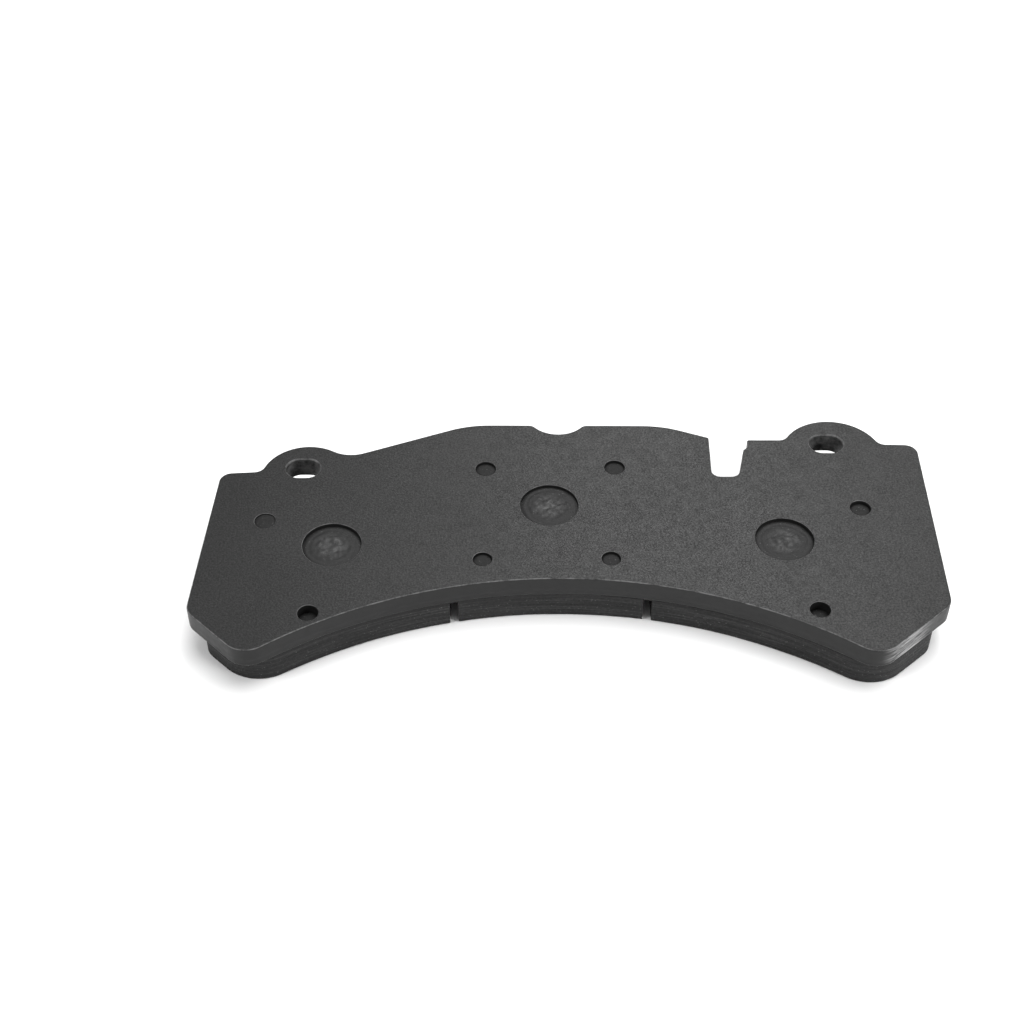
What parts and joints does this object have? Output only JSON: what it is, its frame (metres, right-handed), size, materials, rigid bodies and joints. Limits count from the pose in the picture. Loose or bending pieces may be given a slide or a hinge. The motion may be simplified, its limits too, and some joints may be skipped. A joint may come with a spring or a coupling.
{
  "type": "disc brake pad",
  "caption": "Large fixed-caliper disc brake pad: arched steel backing plate with eared pin slots and a sensor notch, bonded to grooved friction material.",
  "frame": {"origin": "centre of the pad's rectangular footprint, on the friction face plane", "axes": "+Z from the friction face to the back of the steel plate, +X along the pad's length towards the sensor notch, +Y towards the eared edge at the disc's outer rim"},
  "size_m": [0.2, 0.0881, 0.0152],
  "materials": {
    "coated_steel": "black powder coat, satin, fine orange peel",
    "adhesive": "dark cured bonding film",
    "underlayer_compound": "dull moulded composite",
    "friction_compound": "dull, speckled with metal fibres"
  },
  "bodies": {
    "root": {"backing_plate": "coated_steel", "adhesive_film": "adhesive", "underlayer": "underlayer_compound", "friction_block_left": "friction_compound", "friction_block_centre": "friction_compound", "friction_block_right": "friction_compound"}
  },
  "joints": []
}
